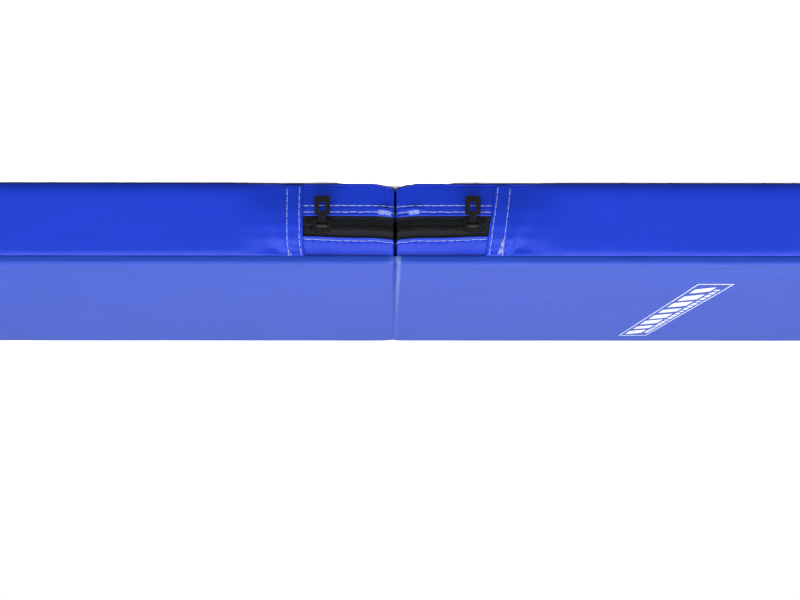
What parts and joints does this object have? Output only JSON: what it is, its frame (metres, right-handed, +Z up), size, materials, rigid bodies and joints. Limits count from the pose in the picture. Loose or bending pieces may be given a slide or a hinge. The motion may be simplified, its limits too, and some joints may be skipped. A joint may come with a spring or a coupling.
{
  "type": "folding gym mat",
  "caption": "Flat foam exercise mat in a blue vinyl cover, hinged across the middle, with zips beside the fold.",
  "frame": {"origin": "on the floor, under the middle of the fold line", "axes": "+X along the mat towards the right panel, +Y along the fold towards the back, +Z up out of the marked face"},
  "size_m": [1.2, 0.6053, 0.0501],
  "materials": {
    "foam": "matte",
    "face_vinyl": "satin",
    "side_vinyl": "satin",
    "base_vinyl": "satin",
    "zip_tape": "matte",
    "zip_coil": "satin",
    "zip_metal": "satin",
    "thread": "matte",
    "print": "satin"
  },
  "bodies": {
    "left_panel": {"foam_core_left": "foam", "face_sheet_left": "face_vinyl", "base_sheet_left": "base_vinyl", "side_band_left": "side_vinyl", "lower_facing_left": "side_vinyl", "upper_facing_left": "side_vinyl", "lower_tape_left": "zip_tape", "upper_tape_left": "zip_tape", "lower_coil_left": "zip_coil", "upper_coil_left": "zip_coil", "coil_stops_left": "zip_coil", "facing_thread_left": "thread", "tab_thread_left": "thread", "fold_web": "face_vinyl", "printed_mark": "print"},
    "right_panel": {"foam_core_right": "foam", "face_sheet_right": "face_vinyl", "base_sheet_right": "base_vinyl", "side_band_right": "side_vinyl", "lower_facing_right": "side_vinyl", "upper_facing_right": "side_vinyl", "lower_tape_right": "zip_tape", "upper_tape_right": "zip_tape", "lower_coil_right": "zip_coil", "upper_coil_right": "zip_coil", "coil_stops_right": "zip_coil", "facing_thread_right": "thread", "tab_thread_right": "thread"},
    "left_slider": {"zip_slider_left": "zip_metal"},
    "left_pull": {"zip_pull_left": "zip_metal"},
    "right_slider": {"zip_slider_right": "zip_metal"},
    "right_pull": {"zip_pull_right": "zip_metal"}
  },
  "joints": [
    {"name": "fold", "type": "hinge", "parent": "left_panel", "child": "right_panel", "pos_m": [0, 0, 0.0505], "axis": [0, -1, 0], "range_deg": [0, 180], "deforming": ["fold_web"]},
    {"name": "left_zip_slide", "type": "slide", "parent": "left_panel", "child": "left_slider", "axis": [1, 0, 0], "range_m": [0, 0.034], "deforming": ["lower_coil_left", "upper_coil_left"]},
    {"name": "left_pull_swing", "type": "hinge", "parent": "left_slider", "child": "left_pull", "pos_m": [-0.0473, -0.3032, 0.0267], "axis": [-1, 0, 0], "range_deg": [0, 165]},
    {"name": "right_zip_slide", "type": "slide", "parent": "right_panel", "child": "right_slider", "axis": [-1, 0, 0], "range_m": [0, 0.0315], "deforming": ["lower_coil_right", "upper_coil_right"]},
    {"name": "right_pull_swing", "type": "hinge", "parent": "right_slider", "child": "right_pull", "pos_m": [0.0446, -0.3032, 0.0267], "axis": [-1, 0, 0], "range_deg": [0, 165]}
  ]
}
